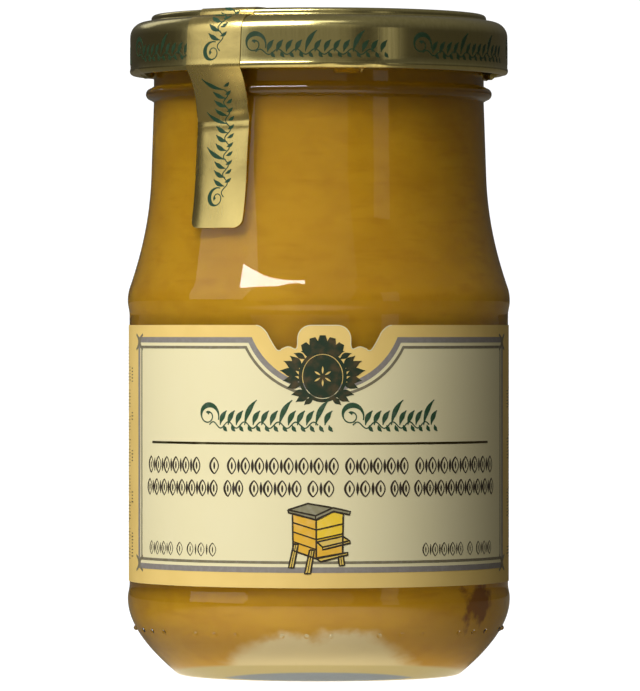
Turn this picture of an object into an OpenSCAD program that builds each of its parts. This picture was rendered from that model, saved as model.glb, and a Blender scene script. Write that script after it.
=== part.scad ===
// Mustard jar: a clear glass jar on a thick foot, filled with mustard, shut with a twist-off lid,
// with a paper label round its recessed panel and a foil seal strip over the lid and the neck.
// The foot stands on z = 0, the axis of the jar is Z, and the label faces -Y.

/* [Jar body] */
// Radius of the recessed panel that carries the label
body_r = 30.4; // [28.8:0.1:37]
// Height of the shoulder bead's crest above the foot
body_h = 60; // [48:0.5:80]
// How far the lower bulge and the shoulder bead stand out from the panel
bead_out = 0.28; // [0:0.01:0.8]
// Height of the lower bulge's crest
heel_h = 12.1; // [9:0.1:16]
// How far the foot is set in from the panel
heel_in = 7.4; // [5:0.1:8.5]
// Angle at which the heel leaves the foot
heel_angle = 40; // [25:1:45]
// Width of the flat ring that the jar stands on
foot_w = 1.7; // [1:0.1:4]
// Width over which the underside rises from the flat ring
punt_run = 2; // [1:0.5:6]
// Height of the small rounding between the foot and the heel
foot_round = 0.35; // [0.2:0.05:0.6]
// Height over which the lower bulge falls back to the panel
bulge_fall = 2.4; // [1:0.1:4]
// Height over which the shoulder bead rises from the panel
bead_rise = 2.4; // [1:0.1:4]

/* [Heel dots] */
// Places for moulded dots round the heel, every fourth of them bare
dot_places = 48; // [24:4:64]
// Radius of a moulded dot
dot_r = 0.34; // [0.2:0.01:0.5]
// Height of the dots, as a share of the way up the heel curve
dot_level = 0.57; // [0.4:0.01:0.75]

/* [Shoulder and neck] */
// Rounding of the shoulder bead
shoulder_round = 6.4; // [3:0.1:9]
// Slope of the shoulder below its bead
shoulder_slope = 19; // [12:1:24]
// Height from the shoulder bead's crest to the foot of the neck
shoulder_h = 20; // [15:0.5:30]
// Height from the foot of the neck to the middle of the transfer bead
neck_h = 13; // [8:0.5:20]
// How much wider the neck is at its foot than at its finish
neck_taper = 0.4; // [0:0.05:1]
// Height from the middle of the transfer bead to the sealing lip
finish_h = 12.45; // [11.8:0.05:15]
// Outer radius of the finish that the lid screws on to
finish_r = 26.5; // [22:0.1:28]
// Rounding of the transfer bead
bead_round = 0.95; // [0.6:0.05:1.2]
// How far the middle of the bead's rounding stands outside the neck
bead_seat = 0.33; // [0:0.01:0.6]
// Rounding of the lip's two edges
lip_round = 0.6; // [0.3:0.05:0.9]

/* [Glass] */
// Thickness of the wall
wall_t = 2.6; // [1.8:0.1:3.2]
// Thickness of the base at the edge of its floor
base_t = 4.5; // [3:0.1:6]
// Rise of the base's underside inside the foot
punt_h = 1.3; // [0.5:0.1:2]
// Rise of the inner floor towards the middle
floor_rise = 0.8; // [0:0.1:2]
// Size of the inner corner between floor and wall
inner_round = 9; // [5:0.1:11]

/* [Mustard] */
// Free height between the mustard and the lip
headspace = 6.4; // [3:0.1:10]
// Gap between the mustard and the glass
fill_gap = 0.02; // [0.01:0.01:0.1]

/* [Thread] */
// Thread ridges round the finish, as many as the lid has lugs
lugs = 4; // [3:1:6]
// How far a ridge stands out from the finish
thread_out = 1.55; // [1:0.05:2]
// Height of a ridge
thread_w = 1.1; // [0.8:0.1:1.6]
// Arc that one ridge covers
thread_arc = 52; // [30:1:56]
// Climb of one ridge from end to end
thread_climb = 1.3; // [0:0.1:1.6]
// Gap between the top of a lug and the ridge over it
thread_gap = 0.3; // [0.1:0.05:0.8]

/* [Lid] */
// Height of the lid from its curl to the top of its ring
lid_h = 9.7; // [8.8:0.1:10.6]
// Thickness of the lid's sheet metal
metal_t = 0.25; // [0.18:0.01:0.35]
// Rounding of the lid's outer corner
lid_round = 2.4; // [1.4:0.1:2.6]
// Gap between the finish and the wall of the raised ring
step_gap = 0.15; // [0.05:0.05:0.5]
// Height of the raised ring above the lid's outer step
step_h = 1.15; // [0.9:0.05:1.8]
// Rounding of the raised ring's outer edge
ring_round = 0.65; // [0.4:0.05:0.8]
// How far the middle panel lies below the raised ring
panel_drop = 0.6; // [0:0.1:1.5]
// Width of the slope between the middle panel and the ring
panel_slope_w = 1.8; // [1:0.1:4]
// Diameter of the curled rim
curl_d = 1.5; // [1.2:0.1:2]
// How far the curl stands out past the skirt
curl_out = 0.1; // [0:0.01:0.2]
// Gap between the thread ridges and the curl
curl_gap = 0.85; // [0.4:0.05:1.5]
// Gap between the lugs and the finish
lug_gap = 0.35; // [0.1:0.05:0.8]
// Arc that one lug covers
lug_arc = 9; // [6:1:14]
// Height of a lug's root above the foot of the curl
lug_top = 1.1; // [0.8:0.1:1.5]
// Turn of the first lug from the front, towards +X
lug_turn = 9.5; // [0:0.5:89.5]
// How far the lugs hang below the curl
lug_hang = 0.55; // [0.2:0.05:0.8]

/* [Label] */
// Thickness of the label paper
paper_t = 0.1; // [0.08:0.01:0.2]
// Gap between the label's lower edge and the panel's lower end
label_low_gap = 0.5; // [0:0.1:3]
// Gap between the label's upper edge and the panel's upper end
label_top_gap = 1.6; // [0:0.1:3]
// Strip of bare glass between the label's two ends, at the back
seam_w = 6; // [2:0.5:20]
// How far round the glass the label's middle lies from the front
label_turn = 1; // [-5:0.1:5]
// Depth of the die-cut in the label's top edge
cut_depth = 3.9; // [2:0.1:6]
// Half the width of the die-cut at the top edge
cut_half_w = 10.9; // [9.6:0.1:14]
// Half the width of the tab that stays between the two cuts
tab_half_w = 4.15; // [2.5:0.05:4.4]
// Half the distance between the lowest points of the two cuts
dip_half_w = 7.4; // [7:0.1:8.5]
// Rounding of the tab's top corners
tab_round = 1.35; // [0.5:0.05:1.8]
// Height of the small bump in the floor of a cut
bump_rise = 0.75; // [0.2:0.05:1]
// Width of the rounding at a cut's outer corner
corner_w = 0.9; // [0.4:0.05:1]

/* [Seal strip] */
// Width of the foil strip
seal_w = 10.4; // [5:0.1:14]
// Thickness of the foil strip
foil_t = 0.15; // [0.08:0.01:0.3]
// Turn of the strip from the front, towards -X
seal_turn = 33.8; // [20:0.1:70]
// Lean of the strip away from upright
seal_lean = 2.5; // [0:0.1:5]
// Length of the strip on the lid's middle panel
seal_on_lid = 11; // [3:0.5:20]
// Depth below the transfer bead at which the strip meets the neck
seal_touch = 4; // [3:0.1:6]
// Height that the strip covers below the middle of the transfer bead
seal_on_neck = 21.8; // [8:0.1:26]
// Gap between the strip or the label and what it is stuck to
glue_gap = 0.02; // [0.01:0.01:0.1]

/* [Hidden] */

$fn = 96;
curve_n = 12;
joint_n = 6;
eps = 0.01;

// Heights, from the foot up
neck_z = body_h + shoulder_h;
bead_z = neck_z + neck_h;
lip_z = bead_z + finish_h;
fill_z = lip_z - headspace;
lid_top_z = lip_z + metal_t;
lid_low_z = lid_top_z - lid_h;
panel_z = lid_top_z - panel_drop;
panel_low_z = heel_h + bulge_fall;
panel_top_z = body_h - bead_rise;
label_low_z = panel_low_z + label_low_gap;
label_top_z = panel_top_z - label_top_gap;
seal_low_z = bead_z - seal_on_neck;

// Radii, from the axis out
crest_r = body_r + bead_out;
foot_r = body_r - heel_in;
neck_r = finish_r + neck_taper;
bore_r = finish_r - wall_t;
thread_r = finish_r + thread_out;
lid_r = thread_r + curl_gap + curl_d;
skirt_r = lid_r - curl_out;
ring_r = finish_r + step_gap + metal_t;
label_r = body_r + glue_gap;

// Direction of lug i from the axis; the ridge over it starts a little before it
function lug_angle(i) = 360 * i / lugs - 90 + lug_turn;

// The curl's middle, and the angles at which it leaves the skirt and ends
curl_mid = [lid_r - curl_d / 2, lid_low_z + curl_d / 2];
curl_start = acos((skirt_r - curl_mid[0]) / (curl_d / 2));
curl_end = -205;
bead_sweep = 75;
bead_reach = 1.3 * bead_round; // half the height of the transfer bead with its fillets
crest_land = 0.2; // upright land above the lower bulge's crest
pull = 0.35; // how strongly the shoulder holds its slope at either end

function arc(mid, r, from, to, n) =
    [for (i = [0:n]) let (a = from + (to - from) * i / n) mid + r * [cos(a), sin(a)]];

function bend(a, b, c, n) =
    [for (i = [0:n]) let (t = i / n, u = 1 - t) u * u * a + 2 * u * t * b + t * t * c];

function sweep(a, b, c, d, n) =
    [for (i = [0:n]) let (t = i / n, u = 1 - t)
        u * u * u * a + 3 * u * u * t * b + 3 * u * t * t * c + t * t * t * d];

// A soft step between two points that leaves both of them upright
function ease(a, b, n) =
    [for (i = [0:n]) let (t = i / n, s = (1 - cos(180 * t)) / 2)
        [a[0] + (b[0] - a[0]) * s, a[1] + (b[1] - a[1]) * t]];

// A soft step between two points that leaves both of them level
function ramp(a, b, n) =
    [for (i = [0:n]) let (t = i / n, s = (1 - cos(180 * t)) / 2)
        [a[0] + (b[0] - a[0]) * t, a[1] + (b[1] - a[1]) * s]];

function backwards(path) = [for (i = [len(path) - 1:-1:0]) path[i]];

// A path moved sideways by d, to its left for d > 0
function shifted(path, d) =
    [for (i = [0:len(path) - 1])
        let (a = path[max(i - 1, 0)], b = path[min(i + 1, len(path) - 1)], u = (b - a) / norm(b - a))
        path[i] + d * [-u[1], u[0]]];

// A band of even thickness on the left side of a path
function band(path, gap, t) = concat(shifted(path, gap), backwards(shifted(path, gap + t)));

// ---- glass, from the foot to the lip; a path holds [radius, height] points ----

function heel_path() =
    bend([foot_r, foot_round],
         [crest_r, foot_round + (crest_r - foot_r) * tan(heel_angle)],
         [crest_r, heel_h], curve_n);

function shoulder_path() =
    let (mid = [crest_r - shoulder_round, body_h],
         top = arc(mid, shoulder_round, 0, shoulder_slope, joint_n),
         a = top[joint_n],
         d = [neck_r, neck_z],
         hold = pull * (neck_z - a[1]),
         down = [-sin(shoulder_slope), cos(shoulder_slope)],
         up = [-neck_taper / neck_h, 1])
    concat(top, [for (i = [1:curve_n]) sweep(a, a + hold * down, d - hold * up, d, curve_n)[i]]);

function transfer_bead_path() =
    let (mid = [finish_r + bead_seat, bead_z])
    concat([[finish_r, bead_z - bead_reach]],
           arc(mid, bead_round, -bead_sweep, bead_sweep, curve_n),
           [[finish_r, bead_z + bead_reach]]);

function outer_path() =
    let (edge = foot_r - foot_round / tan(heel_angle), out_r = edge - foot_round, in_r = out_r - foot_w)
    concat(bend([0, punt_h], [in_r - punt_run, punt_h], [in_r, 0], curve_n),
           bend([out_r, 0], [edge, 0], [foot_r, foot_round], joint_n),
           [for (i = [1:curve_n]) heel_path()[i]],
           ease([crest_r, heel_h + crest_land], [body_r, panel_low_z], joint_n),
           ease([body_r, panel_top_z], [crest_r, body_h - crest_land], joint_n),
           shoulder_path(),
           transfer_bead_path(),
           arc([finish_r - lip_round, lip_z - lip_round], lip_round, 0, 90, joint_n));

// The inside of the glass, moved in by gap, from the middle of the floor up to the bead
function inner_path(gap) =
    let (r = body_r - wall_t - gap, z = base_t + gap)
    concat([[0, z + floor_rise]],
           bend([r - inner_round, z], [r, z], [r, z + inner_round], curve_n),
           [[r, panel_top_z]],
           shifted(shoulder_path(), wall_t + gap),
           [[bore_r - gap, bead_z]]);

module glass_profile() {
    lip = arc([bore_r + lip_round, lip_z - lip_round], lip_round, 90, 180, joint_n);
    polygon(concat(outer_path(), lip, backwards(inner_path(0))));
}

module heel_dots() {
    spot = heel_path()[round(dot_level * curve_n)];
    for (i = [0:dot_places - 1])
        if (i % 4 != 1)
            rotate([0, 0, 360 * (i + 0.5) / dot_places]) translate([spot[0], 0, spot[1]]) sphere(dot_r);
}

// One thread ridge: a rounded rib on a short arc, tipped so that it climbs round the finish
module thread_ridge() {
    tip = atan(thread_climb / (2 * thread_r * sin(thread_arc / 2)));
    mid_z = lid_low_z + lug_top + thread_gap + (thread_w + thread_climb) / 2;
    root_r = finish_r - wall_t / 5;
    rim = [for (a = [-90:30:90]) [root_r + (thread_r - root_r) * cos(a), thread_w / 2 * sin(a)]];
    translate([0, 0, mid_z]) rotate([tip, 0, 0]) rotate([0, 0, -thread_arc / 2])
        rotate_extrude(angle = thread_arc) polygon(rim);
}

module jar() {
    color([0.86, 0.92, 0.9, 0.4]) {
        rotate_extrude() glass_profile();
        heel_dots();
        for (i = [0:lugs - 1]) rotate([0, 0, lug_angle(i) + thread_arc / 4]) thread_ridge();
    }
}

module mustard() {
    top = [[bore_r - fill_gap, fill_z], [0, fill_z]];
    color([0.72, 0.5, 0.12]) rotate_extrude() polygon(concat(inner_path(fill_gap), top));
}

// ---- lid ----

// The lid's outer face, from the edge of its middle panel to the foot of its corner
function lid_face() =
    let (step_z = lid_top_z - step_h, foot = step_h - ring_round - metal_t / 2)
    concat(ramp([bore_r - panel_slope_w, panel_z], [bore_r, lid_top_z], joint_n),
           arc([ring_r - ring_round, lid_top_z - ring_round], ring_round, 90, 0, joint_n),
           bend([ring_r, step_z + foot], [ring_r, step_z], [ring_r + foot, step_z], joint_n),
           arc([skirt_r - lid_round, step_z - lid_round], lid_round, 90, 0, curve_n));

function lid_path() =
    concat([[0, panel_z]], lid_face(), arc(curl_mid, curl_d / 2, curl_start, curl_end, 2 * curve_n));

// One lug: a tongue of the curl folded in under the thread, rounded along its tip
module lug() {
    root_r = lid_r - curl_d + metal_t - eps;
    tip_r = finish_r + lug_gap;
    fold = lug_hang / 2;
    low_z = lid_low_z - lug_hang;
    tip = bend([tip_r + 2 * fold, low_z], [tip_r, low_z], [tip_r, low_z + 2 * fold], joint_n);
    rotate([0, 0, -lug_arc / 2]) rotate_extrude(angle = lug_arc)
        polygon(concat([[root_r, lid_low_z + curl_d / 3]], tip,
                       [[tip_r, low_z + 3 * fold], [root_r, lid_low_z + lug_top]]));
}

module lid() {
    color([0.72, 0.64, 0.36]) {
        rotate_extrude() polygon(band(lid_path(), -metal_t, metal_t));
        for (i = [0:lugs - 1]) rotate([0, 0, lug_angle(i)]) lug();
    }
}

// ---- label ----

// One half of the die-cut, from its outer corner in to the tab's top: [along, down] points
function cut_path() =
    let (bump = (dip_half_w + tab_half_w) / 2, bump_v = cut_depth - bump_rise, nick_v = cut_depth - 0.5,
         w = corner_w / 2)
    concat(bend([cut_half_w + corner_w, 0], [cut_half_w, 0], [cut_half_w - corner_w, 1.2], joint_n),
           bend([dip_half_w + w, nick_v], [dip_half_w, cut_depth], [dip_half_w - w, nick_v], joint_n),
           bend([bump + w, bump_v], [bump, bump_v - 0.2], [bump - w, bump_v], joint_n),
           bend([tab_half_w + w, nick_v], [tab_half_w, nick_v], [tab_half_w, nick_v - 2 * w], joint_n),
           arc([tab_half_w - tab_round, tab_round], tab_round, 0, -90, joint_n));

// One cut as a flat outline, laid on the curve of the jar; side is -1 or 1
module cut_outline(side) {
    r = label_r + paper_t;
    over = 1;
    flat = concat([[cut_half_w + corner_w, -over]], cut_path(), [[tab_half_w - tab_round, -over]]);
    polygon([for (p = flat) [r * sin((side * p[0] + label_turn) / r * 180 / PI), label_top_z - p[1]]]);
}

module label() {
    turn = seam_w / label_r * 180 / PI;
    centre = label_turn / label_r * 180 / PI;
    color([0.93, 0.84, 0.6]) difference() {
        rotate([0, 0, 90 + turn / 2 + centre]) rotate_extrude(angle = 360 - turn)
            translate([label_r, label_low_z]) square([paper_t, label_top_z - label_low_z]);
        rotate([90, 0, 0]) linear_extrude(label_r + 1) {
            cut_outline(-1);
            cut_outline(1);
        }
    }
}

// ---- seal strip ----

// Radii of the shoulder and of the neck at height z
function shoulder_at(z) = lookup(z, [for (p = shoulder_path()) [p[1], p[0]]]);
function neck_at(z) = finish_r + neck_taper * (bead_z - z) / neck_h;

// What the strip lies on: the lid down to its curl, a free span in to the bead, then the neck
function seal_path() =
    let (bead = [finish_r + bead_seat, bead_z],
         touch_z = bead_z - seal_touch,
         loose_z = bead_z - 0.65 * seal_touch,
         low_part = [for (p = backwards(shoulder_path())) if (p[1] > seal_low_z) p])
    concat([[bore_r - seal_on_lid, panel_z]],
           lid_face(),
           arc(curl_mid, curl_d / 2, curl_start, -20, 2),
           arc(bead, bead_round + 2 * glue_gap, 40, -10, joint_n),
           [[neck_at(loose_z) + bead_round / 4, loose_z], [neck_at(touch_z), touch_z]],
           low_part,
           [[shoulder_at(seal_low_z), seal_low_z]]);

module seal() {
    color([0.82, 0.73, 0.4]) intersection() {
        rotate_extrude() polygon(band(seal_path(), glue_gap, foil_t));
        rotate([0, 0, -90 - seal_turn]) translate([0, 0, lid_top_z]) rotate([-seal_lean, 0, 0])
            translate([0, -seal_w / 2, -lid_top_z]) cube([lid_r + 5, seal_w, lid_top_z + 5]);
    }
}

jar();
mustard();
lid();
label();
seal();
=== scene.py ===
import math
import random

import bmesh
import bpy
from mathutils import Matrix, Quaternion, Vector, noise
from mathutils.geometry import tessellate_polygon


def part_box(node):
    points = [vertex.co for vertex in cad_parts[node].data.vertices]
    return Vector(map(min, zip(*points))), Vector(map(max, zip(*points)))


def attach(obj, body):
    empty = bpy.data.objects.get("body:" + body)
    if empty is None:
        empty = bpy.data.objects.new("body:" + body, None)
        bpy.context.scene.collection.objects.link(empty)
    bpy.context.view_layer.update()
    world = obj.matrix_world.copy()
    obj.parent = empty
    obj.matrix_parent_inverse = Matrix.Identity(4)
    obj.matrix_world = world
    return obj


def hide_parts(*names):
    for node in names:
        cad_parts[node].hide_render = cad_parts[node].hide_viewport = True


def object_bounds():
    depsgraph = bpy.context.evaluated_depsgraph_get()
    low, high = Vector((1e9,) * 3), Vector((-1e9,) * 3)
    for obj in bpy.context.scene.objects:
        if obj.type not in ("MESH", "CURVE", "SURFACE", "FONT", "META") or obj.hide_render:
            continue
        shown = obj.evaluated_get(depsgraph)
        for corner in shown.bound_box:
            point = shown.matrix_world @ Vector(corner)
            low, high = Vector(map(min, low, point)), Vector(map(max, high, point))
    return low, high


# The mustard jar's looks: clear glass, mustard, gold lid, printed paper label and foil seal strip.
# Sizes are in millimetres unless a note says otherwise; angles are in degrees.

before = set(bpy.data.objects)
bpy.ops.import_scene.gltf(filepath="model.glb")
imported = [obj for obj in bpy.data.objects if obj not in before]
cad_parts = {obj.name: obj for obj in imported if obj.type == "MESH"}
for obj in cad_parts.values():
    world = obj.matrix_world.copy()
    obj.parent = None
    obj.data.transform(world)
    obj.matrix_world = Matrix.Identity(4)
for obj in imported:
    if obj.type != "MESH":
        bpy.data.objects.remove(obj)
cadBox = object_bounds()
mm = 0.001
print("frame loaded:", ", ".join(sorted(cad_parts)))


def boxSize(node):
    low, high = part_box(node)
    return [value / mm for value in low], [value / mm for value in high]


jarLow, jarHigh = boxSize("jar")
lidLow, lidHigh = boxSize("lid")
labelLow, labelHigh = boxSize("label")
sealLow, sealHigh = boxSize("seal")


# paths are lists of (radius, height) points

def mix(a, b, t):
    # the point this share of the way from a to b
    return (a[0] + (b[0] - a[0]) * t, a[1] + (b[1] - a[1]) * t)


def arc(mid, radius, start, stop, steps):
    points = []
    for i in range(steps + 1):
        angle = math.radians(start + (stop - start) * i / steps)
        points.append((mid[0] + radius * math.cos(angle), mid[1] + radius * math.sin(angle)))
    return points


def bend(a, b, c, steps):
    points = []
    for i in range(steps + 1):
        t = i / steps
        u = 1 - t
        points.append(tuple(u * u * a[k] + 2 * u * t * b[k] + t * t * c[k] for k in (0, 1)))
    return points


def sweep(a, b, c, d, steps):
    points = []
    for i in range(steps + 1):
        t = i / steps
        u = 1 - t
        points.append(tuple(u ** 3 * a[k] + 3 * u * u * t * b[k] + 3 * u * t * t * c[k] + t ** 3 * d[k]
                            for k in (0, 1)))
    return points


def softStep(t):
    return (1 - math.cos(math.pi * t)) / 2


def ease(a, b, steps):
    # leaves both points upright
    return [(a[0] + (b[0] - a[0]) * softStep(i / steps), a[1] + (b[1] - a[1]) * i / steps)
            for i in range(steps + 1)]


def ramp(a, b, steps):
    # leaves both points level
    return [(a[0] + (b[0] - a[0]) * i / steps, a[1] + (b[1] - a[1]) * softStep(i / steps))
            for i in range(steps + 1)]


def shifted(path, distance):
    # moves a path to its left
    moved = []
    for i, point in enumerate(path):
        a = path[max(i - 1, 0)]
        b = path[min(i + 1, len(path) - 1)]
        step = distance / math.dist(a, b)
        moved.append((point[0] - step * (b[1] - a[1]), point[1] + step * (b[0] - a[0])))
    return moved


def bell(distance, width):
    return math.exp(-(distance / width) ** 2)


def clamp(value):
    return min(max(value, 0), 1)


def wrapped(angle, radius, up):
    # a point this far round from the front, in radians
    return (radius * math.sin(angle), -radius * math.cos(angle), up)


# meshes

def addObject(name, data):
    thing = bpy.data.objects.new(name, data)
    bpy.context.scene.collection.objects.link(thing)
    return thing


def solidMesh(name, points, faces, tidyNormals=True):
    mesh = bpy.data.meshes.new(name)
    mesh.from_pydata([tuple(value * mm for value in point) for point in points], [], faces)
    if tidyNormals:
        bm = bmesh.new()
        bm.from_mesh(mesh)
        bmesh.ops.recalc_face_normals(bm, faces=bm.faces)
        bm.to_mesh(mesh)
        bm.free()
    return mesh


def smoothed(mesh, sharpAngle=35):
    mesh.shade_smooth()
    mesh.set_sharp_from_angle(angle=math.radians(sharpAngle))


def makePiece(name, points, faces, finish, replaced=(), sharpAngle=35, tidyNormals=True):
    mesh = solidMesh(name, points, faces, tidyNormals)
    smoothed(mesh, sharpAngle)
    mesh.materials.append(finish.material)
    piece = addObject(name, mesh)
    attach(piece, "root")
    for node in replaced:
        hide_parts(node)
    print("made", name, len(mesh.polygons), "faces")
    return piece


def latheShape(outline, segments):
    # turns an outline round Z; its first and last points lie on the axis
    inner = outline[1:-1]
    points = [(0, 0, outline[0][1])]
    for radius, height in inner:
        for i in range(segments):
            angle = 2 * math.pi * i / segments
            points.append((radius * math.cos(angle), radius * math.sin(angle), height))
    points.append((0, 0, outline[-1][1]))
    last = len(points) - 1
    faces = []
    for i in range(segments):
        j = (i + 1) % segments
        faces.append((0, 1 + j, 1 + i))
        for k in range(len(inner) - 1):
            a = 1 + k * segments
            b = a + segments
            faces.append((a + i, a + j, b + j, b + i))
        a = 1 + (len(inner) - 1) * segments
        faces.append((a + i, a + j, last))
    return points, faces


def unite(piece, parts):
    # joins solid parts into the piece, so that glass has one skin
    for part in parts:
        cut = piece.modifiers.new("union", "BOOLEAN")
        cut.operation = "UNION"
        cut.solver = "MANIFOLD"
        cut.object = part
    graph = bpy.context.evaluated_depsgraph_get()
    joined = bpy.data.meshes.new_from_object(piece.evaluated_get(graph))
    piece.modifiers.clear()
    old = piece.data
    piece.data = joined
    bpy.data.meshes.remove(old)
    for part in parts:
        bpy.data.objects.remove(part)


class FlatWork:
    # flat shapes (across, up, lift) that are afterwards laid on a curved face as thin closed plates

    layer = 0.0015
    layers = 5

    def __init__(self):
        self.bm = bmesh.new()
        self.count = 0

    def lift(self):
        # shapes that follow one another in a piece don't share a plane
        self.count += 1
        return self.layer * (self.count % self.layers)

    def ribbon(self, points, widths):
        lift = self.lift()
        rows = []
        for i, point in enumerate(points):
            a = points[max(i - 1, 0)]
            b = points[min(i + 1, len(points) - 1)]
            reach = widths[i] / 2 / (math.dist(a, b) or 1)
            side = (-(b[1] - a[1]) * reach, (b[0] - a[0]) * reach)
            rows.append((self.bm.verts.new((point[0] - side[0], point[1] - side[1], lift)),
                         self.bm.verts.new((point[0] + side[0], point[1] + side[1], lift))))
        for (rightA, leftA), (rightB, leftB) in zip(rows, rows[1:]):
            self.bm.faces.new((rightA, rightB, leftB, leftA))

    def line(self, points, width, step=0.6):
        # an even line, with points close enough to follow the curve
        close = [points[0]]
        for a, b in zip(points, points[1:]):
            parts = max(math.ceil(math.dist(a, b) / step), 1)
            close += [mix(a, b, i / parts) for i in range(1, parts + 1)]
        self.ribbon(close, [width] * len(close))

    def patch(self, *loops):
        # the first loop is the outline and the others are holes
        lift = self.lift()
        flat = [Vector((p[0], p[1], 0)) for loop in loops for p in loop]
        corners = [self.bm.verts.new((p.x, p.y, lift)) for p in flat]
        for triangle in tessellate_polygon([[Vector((p[0], p[1], 0)) for p in loop] for loop in loops]):
            a, b, c = (flat[k] for k in triangle)
            turn = (b - a).cross(c - a).z
            if abs(turn) > 1e-9:
                order = triangle if turn > 0 else triangle[::-1]
                self.bm.faces.new([corners[k] for k in order])

    def slice(self, axis, step):
        # cuts long faces so that they can follow the curve
        values = [v.co[axis] for v in self.bm.verts]
        normal = Vector((0, 0, 0))
        normal[axis] = 1
        for i in range(math.ceil(min(values) / step), math.floor(max(values) / step) + 1):
            spot = Vector((0, 0, 0))
            # a little off the round figures, where corners often lie
            spot[axis] = (i + 0.013) * step
            every = self.bm.verts[:] + self.bm.edges[:] + self.bm.faces[:]
            bmesh.ops.bisect_plane(self.bm, geom=every, dist=1e-5, plane_co=spot, plane_no=normal)

    def lay(self, name, place, low, high, finish, slot, replaced=()):
        self.bm.verts.index_update()
        count = len(self.bm.verts)
        points = [place(v.co.x, v.co.y, high + v.co.z) for v in self.bm.verts]
        points += [place(v.co.x, v.co.y, low) for v in self.bm.verts]
        faces = []
        for face in self.bm.faces:
            ring = [v.index for v in face.verts]
            faces.append(ring)
            faces.append([k + count for k in reversed(ring)])
            for a, b, edge in zip(ring, ring[1:] + ring[:1], face.edges):
                if len(edge.link_faces) == 1:
                    faces.append([b, a, a + count, b + count])
        self.bm.free()
        return makePiece(name, points, faces, finish, replaced, tidyNormals=False)


# materials

class Signal:
    # an output socket; sums of signals and numbers add Math nodes

    def __init__(self, nodes, socket):
        self.nodes = nodes
        self.socket = socket

    def reckon(self, operation, first, second):
        return self.nodes.add("ShaderNodeMath", {"operation": operation}, {0: first, 1: second})

    def __add__(self, other):
        return self.reckon("ADD", self, other)

    def __mul__(self, other):
        return self.reckon("MULTIPLY", self, other)

    __radd__ = __add__
    __rmul__ = __mul__


class Nodes:
    # adds nodes to one tree

    def __init__(self, tree):
        self.tree = tree

    def add(self, kind, settings=None, sockets=None, output=0):
        node = self.tree.nodes.new(kind)
        for key, value in (settings or {}).items():
            setattr(node, key, value)
        for key, value in (sockets or {}).items():
            if isinstance(value, Signal):
                self.tree.links.new(value.socket, node.inputs[key])
            else:
                node.inputs[key].default_value = value
        return Signal(self, node.outputs[output])

    def blend(self, factor, first, second):
        # Mix has three sockets of every name: 6 and 7 are its colours, and 2 is the colour result
        pick = {0: factor}
        for key, value in ((6, first), (7, second)):
            pick[key] = (*value, 1) if isinstance(value, tuple) else value
        return self.add("ShaderNodeMix", {"data_type": "RGBA"}, pick, output=2)


class Finish(Nodes):
    # a material built round one Principled shader; constants sit on its own sockets

    def __init__(self, name, constants):
        self.material = bpy.data.materials.new(name)
        self.material.use_nodes = True
        super().__init__(self.material.node_tree)
        self.shader = self.tree.nodes["Principled BSDF"]
        for key, value in constants.items():
            self.shader.inputs[key].default_value = (*value, 1) if isinstance(value, tuple) else value
        self.spot = self.add("ShaderNodeTexCoord", output="Object")

    def feed(self, key, signal):
        self.tree.links.new(signal.socket, self.shader.inputs[key])

    def grain(self, size, stretch=(1, 1, 1), detail=2, roughness=0.5):
        # soft noise whose features are about this size, in millimetres
        where = self.add("ShaderNodeMapping", {}, {"Vector": self.spot, "Scale": stretch})
        return self.add("ShaderNodeTexNoise", {}, {"Vector": where, "Scale": 1 / (size * mm),
                                                   "Detail": detail, "Roughness": roughness})

    def spread(self, signal, low, high, newLow=0.0, newHigh=1.0):
        # maps low..high to newLow..newHigh with soft ends
        return self.add("ShaderNodeMapRange", {"interpolation_type": "SMOOTHSTEP"},
                        {"Value": signal, "From Min": low, "From Max": high,
                         "To Min": newLow, "To Max": newHigh})

    def fade(self, signal, low, high, full=1.0):
        # full below low, nothing above high
        return self.spread(signal, low, high, full, 0.0)

    def along(self, axis):
        # how far along x, y or z, in millimetres
        return self.add("ShaderNodeSeparateXYZ", {}, {0: self.spot}, output=axis) * (1 / mm)

    def near(self, point):
        # distance from a point, in millimetres
        far = self.add("ShaderNodeVectorMath", {"operation": "DISTANCE"},
                       {0: self.spot, 1: tuple(value * mm for value in point)}, output=1)
        return far * (1 / mm)

    def relief(self, signal, depth):
        # a bump of this depth, in millimetres
        self.feed("Normal", self.add("ShaderNodeBump", {}, {"Height": signal, "Strength": 1.0,
                                                            "Distance": depth * mm}))


def glassFinish():
    finish = Finish("clearGlass", {"Base Color": (0.975, 0.985, 0.975), "Roughness": 0.0,
                                   "IOR": 1.52, "Transmission Weight": 1.0})
    finish.relief(finish.grain(14, (1, 1, 0.6), detail=1), 0.05)
    return finish


paste = {
    "light": (0.655, 0.368, 0.016), "deep": (0.55, 0.288, 0.011), "deepShare": 0.7,
    "fine": (0.47, 0.21, 0.008), "fineShare": 0.18, "smear": (0.47, 0.22, 0.008), "smearShare": 0.35,
    "stain": (0.19, 0.06, 0.010), "stainShare": 0.85, "stainMid": (24.2, -13.8, 12.6),
    "stainR": (7.8, 10.4), "stainRagged": 12,
    # neck: painted shade, darkening the paste at the top of the neck where the lid shades it
    "neck": (0.24, 0.12, 0.006), "neckShadeShare": 0.6, "neckZ": (88.5, 93.0),
    # pale: painted light, a patch low in front that stands in for light coming through the thick base
    "pale": (0.79, 0.69, 0.43), "paleLightTop": (9.5, 11.5), "paleLightSide": (20.0, 25.0), "paleLightFlare": 1.5,
    "paleLightFront": (-12, -8), "paleLightRagged": 5,
    # under and middle: painted light on the underside, a cream ring for light through the base and a
    # grey-blue middle for the shaded floor seen through the glass
    "floorMid": (0, 0, 4.8), "under": (0.65, 0.56, 0.28), "underR": (19.0, 20.5),
    "middle": (0.29, 0.36, 0.50), "floorSeenR": (13.8, 14.8),
}


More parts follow.
